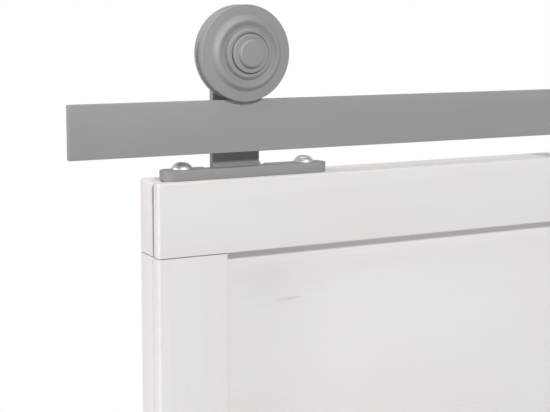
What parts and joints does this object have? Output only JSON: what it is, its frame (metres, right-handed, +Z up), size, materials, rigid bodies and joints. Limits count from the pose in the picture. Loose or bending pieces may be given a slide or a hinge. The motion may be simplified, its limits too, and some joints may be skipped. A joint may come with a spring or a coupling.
{
  "type": "sliding barn door",
  "caption": "Framed white-washed pine barn door leaf that slides on a flat grey steel rail, hung from its top edge by grooved rollers.",
  "frame": {"origin": "on the wall plane, midway between the wall fixings, at the height of the rail's middle", "axes": "+X along the rail, +Y from the wall into the room, +Z up"},
  "size_m": [1.83, 0.082, 2.1838],
  "materials": {
    "powder_steel": "satin grey powder coat",
    "zinc_steel": "satin zinc plate",
    "race_steel": "ground bearing steel",
    "washed_pine": "white-washed pine, brushed on, matt",
    "beech": "plain beech",
    "bumper_rubber": "black rubber",
    "guide_nylon": "dark grey nylon"
  },
  "bodies": {
    "rail": {"track_rail": "powder_steel", "rail_standoffs": "powder_steel", "rail_screws": "powder_steel", "end_stop_left": "powder_steel", "end_stop_right": "powder_steel", "floor_guide": "powder_steel", "rail_washers": "zinc_steel", "stop_screws": "zinc_steel", "guide_rivets": "zinc_steel", "stop_bumper_left": "bumper_rubber", "stop_bumper_right": "bumper_rubber", "guide_glider": "guide_nylon"},
    "door": {"top_rail_front": "washed_pine", "top_rail_back": "washed_pine", "bottom_rail_front": "washed_pine", "bottom_rail_back": "washed_pine", "left_stile_front": "washed_pine", "left_stile_back": "washed_pine", "right_stile_front": "washed_pine", "right_stile_back": "washed_pine", "panel_board_01": "washed_pine", "panel_board_02": "washed_pine", "panel_board_03": "washed_pine", "panel_board_04": "washed_pine", "panel_board_05": "washed_pine", "panel_board_06": "washed_pine", "panel_board_07": "washed_pine", "panel_board_08": "washed_pine", "panel_board_09": "washed_pine", "panel_board_10": "washed_pine", "frame_dowels": "beech", "hanger_plate_left": "powder_steel", "hanger_strap_left": "powder_steel", "hanger_weld_left": "powder_steel", "hanger_screws_left": "zinc_steel", "axle_bolt_left": "zinc_steel", "axle_spacer_left": "zinc_steel", "axle_washer_left": "zinc_steel", "axle_nut_left": "zinc_steel", "bearing_inner_left": "race_steel", "bearing_balls_left": "race_steel", "hanger_plate_right": "powder_steel", "hanger_strap_right": "powder_steel", "hanger_weld_right": "powder_steel", "hanger_screws_right": "zinc_steel", "axle_bolt_right": "zinc_steel", "axle_spacer_right": "zinc_steel", "axle_washer_right": "zinc_steel", "axle_nut_right": "zinc_steel", "bearing_inner_right": "race_steel", "bearing_balls_right": "race_steel"},
    "wheel_left": {"wheel_left": "powder_steel", "hub_cap_left": "powder_steel", "bearing_outer_left": "race_steel"},
    "wheel_right": {"wheel_right": "powder_steel", "hub_cap_right": "powder_steel", "bearing_outer_right": "race_steel"}
  },
  "joints": [
    {"name": "door_slide", "type": "slide", "parent": "rail", "child": "door", "axis": [1, 0, 0], "range_m": [-0.01, 0.82]},
    {"name": "wheel_left_roll", "type": "hinge", "parent": "door", "child": "wheel_left", "pos_m": [-0.777, 0.041, 0.0552], "axis": [0, 1, 0], "continuous": true},
    {"name": "wheel_right_roll", "type": "hinge", "parent": "door", "child": "wheel_right", "pos_m": [-0.033, 0.041, 0.0552], "axis": [0, 1, 0], "continuous": true}
  ],
  "couplings": [
    {"joint": "wheel_left_roll", "follows": "door_slide", "rad_per_m": 28.571},
    {"joint": "wheel_right_roll", "follows": "door_slide", "rad_per_m": 28.571}
  ]
}
